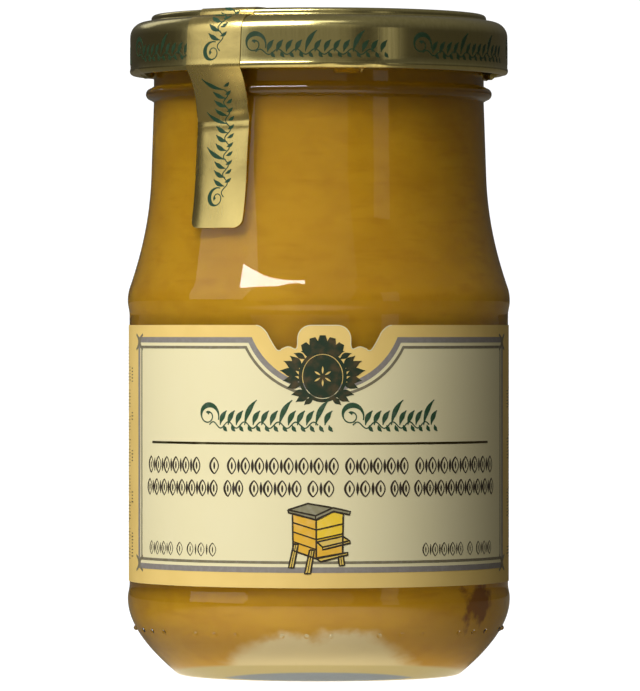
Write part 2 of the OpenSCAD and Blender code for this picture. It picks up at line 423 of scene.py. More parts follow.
def mustardFinish():
    finish = Finish("mustardPaste", {"Roughness": 0.6, "Specular IOR Level": 0.0})
    cloud = finish.spread(finish.grain(16, (1, 1, 1.8), detail=3), 0.35, 0.7)
    smear = finish.spread(finish.grain(7, (1, 1, 5), detail=2), 0.5, 0.8)
    fine = finish.spread(finish.grain(3.5, (1, 1, 1.5), detail=4), 0.45, 0.7)
    ragged = finish.grain(2.6, detail=4) * paste["stainRagged"]
    stain = finish.fade(finish.near(paste["stainMid"]) + ragged, *paste["stainR"])
    height = finish.along("Z")
    # painted shade: the paste is darker towards the top of the neck, where the lid shades it
    neck = finish.spread(height, *paste["neckZ"])
    # painted light: low down in front is a pale, ragged patch that widens downwards, standing in for light
    # that comes through the thick glass base, and the underside is painted pale too
    rough = finish.grain(4, detail=3) * paste["paleLightRagged"]
    across = finish.add("ShaderNodeMath", {"operation": "ABSOLUTE"}, {0: finish.along("X")})
    pale = (finish.fade(across + paste["paleLightFlare"] * height + rough, *paste["paleLightSide"])
            * finish.fade(finish.along("Y"), *paste["paleLightFront"])
            * finish.fade(height + rough, *paste["paleLightTop"]))
    # painted light on the underside: a pale cream ring, with a grey-blue middle that stands in for the
    # shaded floor seen through the glass
    fromMiddle = finish.near(paste["floorMid"])
    colour = finish.blend(cloud * paste["deepShare"], paste["light"], paste["deep"])
    for name, share in (("fine", fine * paste["fineShare"]),
                        ("smear", smear * paste["smearShare"]),
                        ("stain", stain * paste["stainShare"]),
                        ("neck", neck * paste["neckShadeShare"]),
                        ("pale", pale),
                        ("under", finish.fade(fromMiddle, *paste["underR"])),
                        ("middle", finish.fade(fromMiddle, *paste["floorSeenR"]))):
        colour = finish.blend(share, colour, paste[name])
    finish.feed("Base Color", colour)
    finish.relief(finish.grain(2.5, detail=3), 0.05)
    return finish


sheet = {
    "light": (0.54, 0.465, 0.205), "deep": (0.43, 0.37, 0.14), "brushShare": 0.5, "cloudShare": 0.3,
    "rough": 0.12, "brushRough": 0.12, "cloudRough": 0.06, "brushDepth": 0.006,
}


def lidFinish():
    finish = Finish("goldLid", {"Metallic": 1.0})
    brush = finish.grain(0.5, (1, 1, 0.03), detail=2)
    cloud = finish.grain(9, (1, 1, 0.5), detail=2)
    share = finish.spread(brush, 0.3, 0.7) * sheet["brushShare"] + cloud * sheet["cloudShare"]
    finish.feed("Base Color", finish.blend(share, sheet["light"], sheet["deep"]))
    finish.feed("Roughness", brush * sheet["brushRough"] + cloud * sheet["cloudRough"] + sheet["rough"])
    finish.relief(brush, sheet["brushDepth"])
    return finish


foil = {
    "light": (0.70, 0.555, 0.21), "deep": (0.60, 0.475, 0.165),
    "rough": 0.17, "brushRough": 0.08, "cloudRough": 0.10, "creaseDepth": 0.02,
}


def foilFinish():
    finish = Finish("goldFoil", {"Metallic": 1.0})
    cloud = finish.grain(5, detail=2)
    brush = finish.grain(0.6, (1, 1, 0.05), detail=1)
    finish.feed("Base Color", finish.blend(cloud, foil["light"], foil["deep"]))
    finish.feed("Roughness", brush * foil["brushRough"] + cloud * foil["cloudRough"] + foil["rough"])
    finish.relief(finish.grain(2.2, (1, 1, 1.6), detail=2), foil["creaseDepth"])
    return finish


paper = {"light": (0.87, 0.625, 0.205), "deep": (0.815, 0.575, 0.175), "fibre": 0.35, "fibreDepth": 0.006}


def paperFinish():
    finish = Finish("beigePaper", {"Roughness": 0.62, "Specular IOR Level": 0.3})
    cloud = finish.spread(finish.grain(9, detail=3), 0.3, 0.7)
    finish.feed("Base Color", finish.blend(cloud, paper["light"], paper["deep"]))
    finish.relief(finish.grain(paper["fibre"]), paper["fibreDepth"])
    return finish


def inkFinish(name, colour, mottle=0.2, grainSize=0.8, roughness=0.5, worn=None):
    finish = Finish(name, {"Roughness": roughness, "Specular IOR Level": 0.3})
    patchy = finish.spread(finish.grain(grainSize, detail=3), 0.4, 0.75)
    worn = worn or tuple(value + (1 - value) * 0.18 for value in colour)
    finish.feed("Base Color", finish.blend(patchy * mottle, colour, worn))
    finish.relief(finish.grain(0.3, detail=1), 0.003)
    return finish


def ruleFinish():
    # dark foil that glints here and there
    finish = Finish("darkFoil", {"Metallic": 1.0, "Roughness": 0.28})
    worn = finish.spread(finish.grain(6, detail=2), 0.55, 0.75)
    finish.feed("Base Color", finish.blend(worn, (0.10, 0.08, 0.035), (0.38, 0.34, 0.17)))
    finish.relief(finish.grain(5, detail=2), 0.05)
    return finish


# the glass jar, with dots a little larger than in the CAD, so that they show

glass = {
    "beadOut": 0.28, "heelH": 12.1, "heelIn": 7.4, "heelAngle": 40, "footW": 1.7, "puntRun": 2,
    "footRound": 0.35, "bulgeFall": 2.4, "beadRise": 2.4, "crestLand": 0.2, "bodyH": 60,
    "shoulderRound": 6.4, "shoulderSlope": 19, "shoulderH": 20, "neckH": 13, "neckTaper": 0.4,
    "finishR": 26.5, "beadRound": 0.95, "beadSeat": 0.33, "beadSweep": 75,
    "lipRound": 0.6, "wall": 2.6, "base": 4.5, "puntH": 1.3, "floorRise": 0.8, "innerRound": 9,
    "pull": 0.35, "dotPlaces": 48, "dotGroup": 4, "dotR": 0.42, "dotLevel": 0.57, "segments": 256,
    "ridges": 4, "ridgeOut": 1.55, "ridgeH": 1.1, "ridgeArc": 52, "ridgeClimb": 1.3, "ridgeGap": 0.3,
}
crestR = jarHigh[0]
lipZ = jarHigh[2]
bodyR = crestR - glass["beadOut"]
bodyH = glass["bodyH"]
footR = bodyR - glass["heelIn"]
neckZ = bodyH + glass["shoulderH"]
beadZ = neckZ + glass["neckH"]
neckR = glass["finishR"] + glass["neckTaper"]
boreR = glass["finishR"] - glass["wall"]
panelLowZ = glass["heelH"] + glass["bulgeFall"]
panelTopZ = bodyH - glass["beadRise"]


def heelPath(steps=16):
    rise = (crestR - footR) * math.tan(math.radians(glass["heelAngle"]))
    return bend((footR, glass["footRound"]), (crestR, glass["footRound"] + rise),
                (crestR, glass["heelH"]), steps)


def shoulderPath(steps=24):
    slope = math.radians(glass["shoulderSlope"])
    start = arc((crestR - glass["shoulderRound"], bodyH), glass["shoulderRound"],
                0, glass["shoulderSlope"], 8)
    a = start[-1]
    hold = glass["pull"] * (neckZ - a[1])
    lower = (a[0] - hold * math.sin(slope), a[1] + hold * math.cos(slope))
    upper = (neckR + hold * glass["neckTaper"] / glass["neckH"], neckZ - hold)
    return start + sweep(a, lower, upper, (neckR, neckZ), steps)[1:]


def outerPath():
    edge = footR - glass["footRound"] / math.tan(math.radians(glass["heelAngle"]))
    outR = edge - glass["footRound"]
    inR = outR - glass["footW"]
    finishR = glass["finishR"]
    reach = 1.3 * glass["beadRound"]
    lipRound = glass["lipRound"]
    return (bend((0, glass["puntH"]), (inR - glass["puntRun"], glass["puntH"]), (inR, 0), 12)
            + bend((outR, 0), (edge, 0), (footR, glass["footRound"]), 6)
            + heelPath()[1:]
            + ease((crestR, glass["heelH"] + glass["crestLand"]), (bodyR, panelLowZ), 8)
            + ease((bodyR, panelTopZ), (crestR, bodyH - glass["crestLand"]), 8)
            + shoulderPath()
            + [(finishR, beadZ - reach)]
            + arc((finishR + glass["beadSeat"], beadZ), glass["beadRound"],
                  -glass["beadSweep"], glass["beadSweep"], 14)
            + [(finishR, beadZ + reach)]
            + arc((finishR - lipRound, lipZ - lipRound), lipRound, 0, 90, 6))


def innerPath(gap):
    # the inside of the glass, moved in by gap, from the middle of the floor to the bead
    radius = bodyR - glass["wall"] - gap
    floorZ = glass["base"] + gap
    return ([(0, floorZ + glass["floorRise"])]
            + bend((radius - glass["innerRound"], floorZ), (radius, floorZ),
                   (radius, floorZ + glass["innerRound"]), 16)
            + [(radius, panelTopZ)]
            + shifted(shoulderPath(), glass["wall"] + gap)
            + [(boreR - gap, beadZ)])


def heelDots():
    # one part with a ball at every place but one in each group
    rings = 6
    spokes = 12
    path = heelPath(12)
    level = path[round(glass["dotLevel"] * (len(path) - 1))]
    points = []
    faces = []
    for i in range(glass["dotPlaces"]):
        if i % glass["dotGroup"] == 1:
            continue
        turn = 2 * math.pi * (i + 0.5) / glass["dotPlaces"]
        mid = Vector((level[0] * math.cos(turn), level[0] * math.sin(turn), level[1]))
        first = len(points)
        points.append(mid + Vector((0, 0, glass["dotR"])))
        for k in range(1, rings):
            tip = math.pi * k / rings
            for j in range(spokes):
                spin = 2 * math.pi * j / spokes
                points.append(mid + glass["dotR"] * Vector((math.sin(tip) * math.cos(spin),
                                                            math.sin(tip) * math.sin(spin),
                                                            math.cos(tip))))
        points.append(mid - Vector((0, 0, glass["dotR"])))
        last = len(points) - 1
        for j in range(spokes):
            n = (j + 1) % spokes
            faces.append((first, first + 1 + j, first + 1 + n))
            for k in range(rings - 2):
                a = first + 1 + k * spokes
                faces.append((a + j, a + spokes + j, a + spokes + n, a + n))
            a = first + 1 + (rings - 2) * spokes
            faces.append((a + j, last, a + n))
    return addObject("dots", solidMesh("dots", points, faces))


def threadRidge(index, lugAngle, lidFootZ, lugTop):
    # a rounded rib on a short arc, tipped so that it climbs round the finish
    ridgeR = glass["finishR"] + glass["ridgeOut"]
    rootR = glass["finishR"] - glass["wall"] / 5
    half = math.radians(glass["ridgeArc"] / 2)
    tip = math.atan(glass["ridgeClimb"] / (2 * ridgeR * math.sin(half)))
    midZ = lidFootZ + lugTop + glass["ridgeGap"] + (glass["ridgeH"] + glass["ridgeClimb"]) / 2
    turn = math.radians(lugAngle + glass["ridgeArc"] / 4)
    steps = 24
    rim = [(rootR + (ridgeR - rootR) * math.cos(math.radians(a)),
            glass["ridgeH"] / 2 * math.sin(math.radians(a))) for a in range(-90, 91, 30)]
    points = []
    for i in range(steps + 1):
        angle = -half + 2 * half * i / steps
        for radius, height in rim:
            x = radius * math.cos(angle)
            y = radius * math.sin(angle)
            tippedY = y * math.cos(tip) - height * math.sin(tip)
            tippedZ = y * math.sin(tip) + height * math.cos(tip)
            points.append((x * math.cos(turn) - tippedY * math.sin(turn),
                           x * math.sin(turn) + tippedY * math.cos(turn), midZ + tippedZ))
    count = len(rim)
    faces = [list(range(count)), list(range(steps * count, (steps + 1) * count))[::-1]]
    for i in range(steps):
        for k in range(count):
            a = i * count + k
            b = i * count + (k + 1) % count
            faces.append((a, a + count, b + count, b))
    name = "ridge%d" % index
    return addObject(name, solidMesh(name, points, faces))


# the lid

lid = {
    "metal": 0.25, "round": 2.4, "stepGap": 0.15, "stepH": 1.15, "ringRound": 0.65, "panelDrop": 0.6,
    "panelSlope": 1.8, "curl": 1.5, "curlOut": 0.1, "lugGap": 0.35, "lugArc": 9, "lugTop": 1.1,
    "lugTurn": 9.5, "lugHang": 0.55, "lugs": 4, "curlEnd": -205,
    "dentDepth": 0.34, "dentHalf": 10.5, "dentH": 1.25, "dentSteep": 2.2, "pressedH": 3.4, "pressedIn": 0.3,
    "lugCorner": 0.35, "segments": 256,
}
lidR = lidHigh[0]
lidTopZ = lidHigh[2]
curlFootZ = lidLow[2] + lid["lugHang"]
skirtR = lidR - lid["curlOut"]
ringR = glass["finishR"] + lid["stepGap"] + lid["metal"]
panelZ = lidTopZ - lid["panelDrop"]
curlR = lid["curl"] / 2
curlMid = (lidR - curlR, curlFootZ + curlR)
curlStart = math.degrees(math.acos((skirtR - curlMid[0]) / curlR))


def lugAngle(index):
    return 360 * index / lid["lugs"] - 90 + lid["lugTurn"]


def lidFace():
    # from the edge of the middle panel to the foot of the outer corner
    stepZ = lidTopZ - lid["stepH"]
    foot = lid["stepH"] - lid["ringRound"] - lid["metal"] / 2
    return (ramp((boreR - lid["panelSlope"], panelZ), (boreR, lidTopZ), 8)
            + arc((ringR - lid["ringRound"], lidTopZ - lid["ringRound"]), lid["ringRound"], 90, 0, 8)
            + bend((ringR, stepZ + foot), (ringR, stepZ), (ringR + foot, stepZ), 6)
            + arc((skirtR - lid["round"], stepZ - lid["round"]), lid["round"], 90, 0, 14))


def lidPath():
    skirtTop = lidFace()[-1]
    skirt = [(skirtR, skirtTop[1] + (curlMid[1] + curlR - skirtTop[1]) * i / 8) for i in range(1, 8)]
    return ([(0, panelZ)] + lidFace() + skirt
            + arc(curlMid, curlR, curlStart, lid["curlEnd"], 28))


def dentAt(angle, height):
    # how far the skirt's foot is pressed in over each lug
    nearest = min(abs((angle - lugAngle(i) + 180) % 360 - 180) for i in range(lid["lugs"]))
    if nearest >= lid["dentHalf"]:
        return 0
    across = 1 - (nearest / lid["dentHalf"]) ** 2
    top = curlFootZ + lid["dentH"] + curlR * across
    return lid["dentDepth"] * min(across * lid["dentSteep"], 1) * clamp((top - height) / lid["dentH"])


def lidShell(finish):
    path = lidPath()
    outline = path + shifted(path, -lid["metal"])[::-1]
    outline[-1] = (0, panelZ - lid["metal"])
    points, faces = latheShape(outline, lid["segments"])
    pressed = []
    for x, y, z in points:
        radius = math.hypot(x, y)
        if radius > lidR - lid["curl"] - lid["pressedIn"] and z < curlFootZ + lid["pressedH"]:
            share = 1 - dentAt(math.degrees(math.atan2(y, x)), z) / radius
            x, y = x * share, y * share
        pressed.append((x, y, z))
    return makePiece("lidShell", pressed, faces, finish, ["lid"], sharpAngle=50)


def lidLugs(finish):
    # the four tongues of the curl, folded in under the thread
    rootR = lidR - lid["curl"] + lid["metal"]
    tipR = glass["finishR"] + lid["lugGap"]
    fold = lid["lugHang"] / 2
    lowZ = curlFootZ - lid["lugHang"]
    rim = ([(rootR, curlFootZ + lid["curl"] / 3)]
           + bend((tipR + 2 * fold, lowZ), (tipR, lowZ), (tipR, lowZ + 2 * fold), 6)
           + [(tipR, lowZ + 3 * fold), (rootR, curlFootZ + lid["lugTop"])])
    count = len(rim)
    steps = 10
    points = []
    faces = []
    for i in range(lid["lugs"]):
        first = len(points)
        for j in range(steps + 1):
            across = 2 * j / steps - 1
            angle = math.radians(lugAngle(i) + across * lid["lugArc"] / 2)
            for radius, height in rim:
                # the tongue's corners are rounded off
                out = radius + max(rootR - radius, 0) * lid["lugCorner"] * across ** 6
                points.append((out * math.cos(angle), out * math.sin(angle), height))
        faces.append([first + k for k in range(count)])
        faces.append([first + steps * count + k for k in reversed(range(count))])
        for j in range(steps):
            for k in range(count):
                a = first + j * count + k
                b = first + j * count + (k + 1) % count
                faces.append((a, a + count, b + count, b))
    return makePiece("lidLugs", points, faces, finish)


def onSkirt(across, up, lift):
    return wrapped(across / skirtR, skirtR + lift, up)


# ornament, which stands where an object of this kind carries words

def swelling(steps, thin, thick, power=1.6):
    return [thin + (thick - thin) * math.sin(math.pi * i / steps) ** power for i in range(steps + 1)]


def leaf(work, base, tip, belly, width, steps=12, thin=0.05):
    # a bent leaf whose fullest part lies between its two ends
    across = (-(tip[1] - base[1]) * belly, (tip[0] - base[0]) * belly)
    mid = ((base[0] + tip[0]) / 2 + across[0], (base[1] + tip[1]) / 2 + across[1])
    work.ribbon(bend(base, mid, tip, steps), swelling(steps, thin, width))


# proportions that all the vines share
sprig = {
    "wave": 0.10, "leafless": 2.2, "firstLeaf": 2.1, "bow": (0.2, 0.65), "tip": 0.7,
    "lowPlace": 0.45, "lowLean": 1.2, "lowThick": 0.75,
    "voluteStart": -20, "turns": 1.4, "windIn": 0.82, "swell": 2.2, "bud": 0.6, "budSteps": 8,
}


def asIs(point):
    return point


def volute(work, mid, radius, thin, thick, turned):
    # a spiral that winds in to a small bud
    steps = 40
    points = []
    for i in range(steps + 1):
        angle = math.radians(sprig["voluteStart"]) + 2 * math.pi * sprig["turns"] * i / steps
        reach = radius * (1 - sprig["windIn"] * i / steps)
        points.append(turned((mid[0] + reach * math.cos(angle), mid[1] + reach * math.sin(angle))))
    widths = [thin + (thick - thin) * math.sin(math.pi * min(i / steps * sprig["swell"], 1)) ** 2
              for i in range(steps + 1)]
    count = sprig["budSteps"]
    widths[-count:] = [thin + thick * sprig["bud"] * softStep(k / (count - 1)) for k in range(count)]
    work.ribbon(points, widths)


def vine(work, start, length, base, height, ornament, turned=asIs):
    # a waving stem with slanted leaves on both sides and a volute at its start
    mid = base + height * ornament["stem"]
    wave = height * sprig["wave"]
    pitch = ornament["pitch"]
    hair = ornament["hair"]
    thick = ornament["thick"]
    budR = ornament["voluteR"]
    run = length - sprig["leafless"] * budR
    count = max(int(round(run / pitch)), 2)
    first = start + sprig["firstLeaf"] * budR
    steps = count * 8

    def blade(foot, rise, over, width):
        reach = ornament["lean"] * abs(rise)
        bow = (foot + reach * sprig["bow"][0], mid + rise * sprig["bow"][1])
        curve = bend((foot, mid), bow, (foot + reach * over, mid + rise), 10)
        work.ribbon([turned(p) for p in curve], swelling(10, hair * sprig["tip"], width))

    work.line([turned((first - budR + run * i / steps, mid + wave * math.sin(math.pi * count * i / steps)))
               for i in range(steps + 1)], hair)
    for i in range(count):
        tall = height * (1 if (i + 1) % ornament["tallEvery"] == 0 else ornament["low"])
        lowFoot = first + pitch * (i + sprig["lowPlace"])
        blade(first + pitch * i, base + tall - mid, 1, thick)
        blade(lowFoot, base - mid, sprig["lowLean"], thick * sprig["lowThick"])
    volute(work, (start + budR, base + height * 0.5), budR, hair, thick, turned)


# the label

label = {
    "paper": 0.1, "inkSunk": 0.01, "seam": 6, "turn": 1.0,
    "cutDepth": 4.2, "cutHalf": 9.9, "cutShift": -0.15, "tabHalf": 4.15, "dipHalf": 7.1,
    "tabRound": 2.1, "bump": 0.75, "bumpArch": 0.2, "corner": 0.9,
    "panelHalf": 38.1, "panelLow": 17.4, "panelTop": 54.1, "scoopZ": 59.2, "scoopR": 12.7,
    "thickLine": 0.87, "lineGap": 0.5, "thinLine": 0.43, "cutEdge": 0.13, "cutEdgeIn": 0.05,
    "shoulderDown": 1.2, "kneeDown": 2.3, "kneeIn": 0.5, "nickUp": 0.5, "creamInset": 0.3,
    "tieAt": (0.5, 0.8), "tieHalf": (1.5, 1.2), "tieWaist": 1.1, "tieW": (0.35, 0.8), "fold": 1.0,
}
labelInR = labelHigh[0] - label["paper"]
labelLowZ = labelLow[2]
labelTopZ = labelHigh[2]


def onLabel(across, up, lift):
    # across is measured round the jar from the label's middle, and lift from the paper's back
    return wrapped((across + label["turn"]) / labelInR, labelInR + lift, up)


# how far each plate of ink stands out from the paper
inkLift = {
    "printCream": 0.01, "borderThick": 0.02, "borderThin": 0.022, "cutEdge": 0.012,
    "crestOrnament": 0.03, "titleVine": 0.025, "ruleLine": 0.02, "rowPrint": 0.025, "sideColumns": 0.02,
    "hiveYellow": 0.03, "hiveOrange": 0.039, "hiveGrey": 0.048, "hivePale": 0.057, "hiveLines": 0.07,
}


def printOn(work, name, ink):
    back = label["paper"] - label["inkSunk"]
    work.lay(name, onLabel, back, label["paper"] + inkLift[name], ink, "label_paper")


def cutPath():
    # half of the die-cut, from its outer corner in to the tab's top: (along, down) points
    depth = label["cutDepth"]
    dip = label["dipHalf"]
    tab = label["tabHalf"]
    half = label["cutHalf"]
    corner = label["corner"]
    bumpAt = (dip + tab) / 2
    bumpDown = depth - label["bump"]
    step = label["shoulderDown"]
    nick = depth - label["nickUp"]
    w = corner / 2
    knee = (half - corner - label["kneeIn"], label["kneeDown"])
    return (bend((half + corner, 0), (half, 0), (half - corner, step), 8)
            + bend((half - corner, step), knee, (dip + w, nick), 8)[1:-1]
            + bend((dip + w, nick), (dip, depth), (dip - w, nick), 8)
            + bend((bumpAt + w, bumpDown), (bumpAt, bumpDown - label["bumpArch"]), (bumpAt - w, bumpDown), 8)
            + bend((tab + w, nick), (tab, nick), (tab, nick - 2 * w), 8)
            + arc((tab - label["tabRound"], label["tabRound"]), label["tabRound"], 0, -90, 8))


def topEdge():
    # the label's upper edge from left to right, with its two cuts
    shift = label["cutShift"]
    left = [(shift - a, labelTopZ - down) for a, down in cutPath()]
    right = [(shift + a, labelTopZ - down) for a, down in reversed(cutPath())]
    return left + right


def panelOutline(inset):
    # the border's outline: a box whose top edge is scooped out under the crest
    half = label["panelHalf"] - inset
    low = label["panelLow"] + inset
    top = label["panelTop"] - inset
    radius = label["scoopR"] + inset
    edge = math.degrees(math.asin((label["scoopZ"] - top) / radius))
    scoop = arc((0, label["scoopZ"]), radius, -edge, edge - 180, 36)
    return [(-half, low), (half, low), (half, top)] + scoop + [(-half, top)]


def labelPaper(finish):
    half = math.pi * labelInR - label["seam"] / 2
    work = FlatWork()
    work.patch([(-half, labelLowZ), (half, labelLowZ), (half, labelTopZ)] + topEdge()[::-1]
               + [(-half, labelTopZ)])
    work.slice(0, label["fold"])
    return work.lay("labelPaper", onLabel, 0, label["paper"], finish, "label_paper", ["label"])


def panelPrint(cream, grey, olive):
    work = FlatWork()
    work.patch(panelOutline(label["creamInset"]))
    work.slice(0, label["fold"])
    printOn(work, "printCream", cream)
    work = FlatWork()
    work.patch(panelOutline(0), panelOutline(label["thickLine"])[::-1])
    work.slice(0, label["fold"])
    printOn(work, "borderThick", grey)
    work = FlatWork()
    inner = label["thickLine"] + label["lineGap"]
    work.patch(panelOutline(inner), panelOutline(inner + label["thinLine"])[::-1])
    work.slice(0, label["fold"])
    # a crossed tie at each corner of the border
    inAcross, inUp = label["tieAt"]
    across, up = label["tieHalf"]
    for side in (-1, 1):
        for z, way in ((label["panelTop"] - inUp, 1), (label["panelLow"] + inUp, -1)):
            x = side * (label["panelHalf"] - inAcross)
            for lean in (-1, 1):
                end = x + lean * across
                waist = (x - lean * label["tieWaist"], z)
                curve = bend((end, z + way * up), waist, (end, z - way * up), 12)
                work.ribbon(curve, swelling(12, *label["tieW"]))
    printOn(work, "borderThin", olive)
    # the pale cut edge of the paper
    work = FlatWork()
    work.line([(a, up - label["cutEdgeIn"]) for a, up in topEdge()], label["cutEdge"])
    printOn(work, "cutEdge", cream)


crest = {
    "mid": (-0.4, 48.0), "ovalW": 3.75, "ovalH": 4.05, "ring": 0.55, "ringGap": 0.12,
    "rosette": 6, "rosetteIn": 0.4, "rosetteOut": (1.5, 1.6), "rosetteHalf": 0.30,
    "petals": 5, "petalLow": 3.7, "petalTop": 6.4, "petalW": 0.75, "petalSpan": 0.98, "petalEnd": 0.97,
    "petalFull": 0.8, "fanHalf": 34,
    "fanDrop": 0.25, "fanNarrow": 0.86, "leafBelly": 0.12,
    # foot, tip and width of the leaves on one side
    "spray": [
        ((3.2, 1.0), (5.1, 3.2), 1.25), ((3.4, 0.6), (6.1, 2.4), 1.3), ((3.5, 0.0), (6.7, 0.9), 1.35),
        ((3.3, -0.7), (6.2, -0.7), 1.25), ((3.0, -1.2), (5.6, -1.9), 1.1), ((2.2, -2.6), (4.9, -2.9), 1.1),
        ((1.9, -3.0), (4.2, -4.0), 1.1), ((1.3, -3.4), (2.9, -4.5), 0.9), ((2.6, 2.6), (4.5, 3.6), 0.9),
        ((1.5, 3.3), (3.4, 3.9), 0.8),
    ],
}


def ellipse(mid, across, up, steps=48):
    turns = [2 * math.pi * i / steps for i in range(steps)]
    return [(mid[0] + across * math.cos(turn), mid[1] + up * math.sin(turn)) for turn in turns]


def crestOrnament(ink):
    # a plain oval with a ring and a rosette in it, a fan of petals over it and leaves round it
    work = FlatWork()
    mid = crest["mid"]
    across = crest["ovalW"]
    up = crest["ovalH"]
    ring = crest["ring"]
    gap = ring + crest["ringGap"]
    work.patch(ellipse(mid, across, up), ellipse(mid, across - ring, up - ring)[::-1])
    petals = []
    for i in range(crest["rosette"]):
        turn = 2 * math.pi * (i + 0.5) / crest["rosette"]
        out = (math.cos(turn), math.sin(turn))
        near = (mid[0] + crest["rosetteIn"] * out[0], mid[1] + crest["rosetteIn"] * out[1])
        far = (mid[0] + crest["rosetteOut"][0] * out[0], mid[1] + crest["rosetteOut"][1] * out[1])
        centre = mix(near, far, 0.5)
        side = (-crest["rosetteHalf"] * out[1], crest["rosetteHalf"] * out[0])
        half = bend(near, (centre[0] + side[0], centre[1] + side[1]), far, 6)
        back = bend(far, (centre[0] - side[0], centre[1] - side[1]), near, 6)
        petals.append((half + back[1:-1])[::-1])
    work.patch(ellipse(mid, across - gap, up - gap), *petals)
    work.slice(0, label["fold"])
    steps = 10
    for i in range(crest["petals"]):
        place = 2 * i / (crest["petals"] - 1) - 1
        turn = math.radians(90 + crest["fanHalf"] * place)
        low = crest["petalLow"]
        run = crest["petalTop"] - crest["fanDrop"] * abs(place) - low
        points = [(mid[0] + (low + run * t / steps) * math.cos(turn) * crest["fanNarrow"],
                   mid[1] + (low + run * t / steps) * math.sin(turn)) for t in range(steps + 1)]
        places = [math.pi * min(t / steps, crest["petalEnd"]) * crest["petalSpan"] for t in range(steps + 1)]
        work.ribbon(points, [crest["petalW"] * (1 + math.sin(t) ** crest["petalFull"]) for t in places])
    for side in (-1, 1):
        for foot, tip, width in crest["spray"]:
            ends = [(mid[0] + side * point[0], mid[1] + point[1]) for point in (foot, tip)]
            leaf(work, *ends, crest["leafBelly"] * side, width)
    printOn(work, "crestOrnament", ink)


titleVine = {"pitch": 1.42, "lean": 0.52, "stem": 0.20, "low": 0.66, "hair": 0.2, "thick": 0.85,
             "tallEvery": 4, "voluteR": 2.0}
title = {"base": 39.4, "height": 4.9, "spans": [(-21.3, 22.4), (2.1, 17.4)]}


def titleOrnament(ink):
    work = FlatWork()
    for start, length in title["spans"]:
        vine(work, start, length, title["base"], title["height"], titleVine)
    printOn(work, "titleVine", ink)


rows = {
    "ruleZ": 37.5, "ruleHalf": 32.0, "ruleShift": -0.6, "ruleW": 0.37,
    "hair": 0.55, "pitch": 0.86, "ends": (0.37, 0.26), "belly": 0.58, "ribHalf": 0.22, "spindleHalf": 0.4,
    # foot, height, weight of the line and spans of each row
    "lines": [
        (32.7, 2.6, 0.38, [(-33.8, -20.8), (-19.6, -16.8), (-15.9, 2.2), (3.1, 13.6), (14.7, 33.1)]),
        (29.2, 2.55, 0.38, [(-34.2, -17.5), (-16.5, -13.0), (-12.1, -3.6), (-2.8, 1.5), (2.9, 9.7),
                            (10.4, 13.8), (14.5, 33.5)]),
        (19.8, 2.1, 0.23, [(-33.5, -26.8), (-26.1, -24.5), (-23.8, -17.7), (16.0, 24.6), (25.3, 27.2),
                           (27.8, 32.7)]),
    ],
}


def leafRow(work, base, height, heavy, spans):
    # upright leaf outlines with a rib in each and a spindle between each pair
    hair = heavy * rows["hair"]
    half = base + height / 2

    def spindle(x, reach, steps, thin, thick, power):
        curve = bend((x, half - reach), (x, half), (x, half + reach), steps)
        work.ribbon(curve, swelling(steps, thin, thick, power))

    for start, stop in spans:
        count = max(int(round((stop - start) / (height * rows["pitch"]))), 1)
        pitch = (stop - start) / (count - rows["ends"][1])
        belly = min(pitch, height) * rows["belly"]
        for i in range(count):
            mid = start + pitch * (i + rows["ends"][0])
            for side, width in ((-1, heavy), (1, hair)):
                edge = bend((mid, base), (mid + side * belly, half), (mid, base + height), 12)
                work.ribbon(edge, swelling(12, hair * 0.8, width, 0.6))
            spindle(mid, height * rows["ribHalf"], 6, hair * 0.5, heavy * 0.9, 0.8)
            if i < count - 1:
                spindle(mid + pitch / 2, height * rows["spindleHalf"], 8, hair * 0.4, heavy * 1.3, 1.2)


def rowPrint(ink, ruleInk):
    work = FlatWork()
    ends = (rows["ruleShift"] - rows["ruleHalf"], rows["ruleShift"] + rows["ruleHalf"])
    work.line([(across, rows["ruleZ"]) for across in ends], rows["ruleW"])
    printOn(work, "ruleLine", ruleInk)
    work = FlatWork()
    for row in rows["lines"]:
        leafRow(work, *row)
    printOn(work, "rowPrint", ink)


sidePrint = {
    "first": 41.9, "pitch": 2.5, "columns": 18, "low": 18.5, "top": 53.0, "tick": 1.25, "shortTick": 0.9,
    "thick": 0.17, "step": 0.52, "gap": 1.1, "firstGap": 4.5, "seed": 7,
    "raggedLow": 2, "raggedTop": 6, "group": (3, 9), "tickShare": 0.4,
}


def sideColumns(ink):
    # columns of small ticks on the two sides of the label, in groups
    work = FlatWork()
    chance = random.Random(sidePrint["seed"])
    for side in (-1, 1):
        for k in range(sidePrint["columns"]):
            across = side * (sidePrint["first"] + sidePrint["pitch"] * k)
            up = sidePrint["low"] + chance.random() * sidePrint["raggedLow"]
            stop = sidePrint["top"] - chance.random() * sidePrint["raggedTop"]
            while up < stop:
                for i in range(chance.randint(*sidePrint["group"])):
                    long = chance.random() < sidePrint["tickShare"]
                    half = sidePrint["tick" if long else "shortTick"] / 2
                    if up < stop:
                        work.line([(across - half, up), (across + half, up)], sidePrint["thick"])
                    up += sidePrint["step"]
                up += sidePrint["gap" if k else "firstGap"]
    printOn(work, "sideColumns", ink)


hive = {"foot": (-1.4, 19.6), "outline": 0.27, "boards": (0.24, 0.5, 0.75), "boardLine": 0.8, "legLine": 0.5}


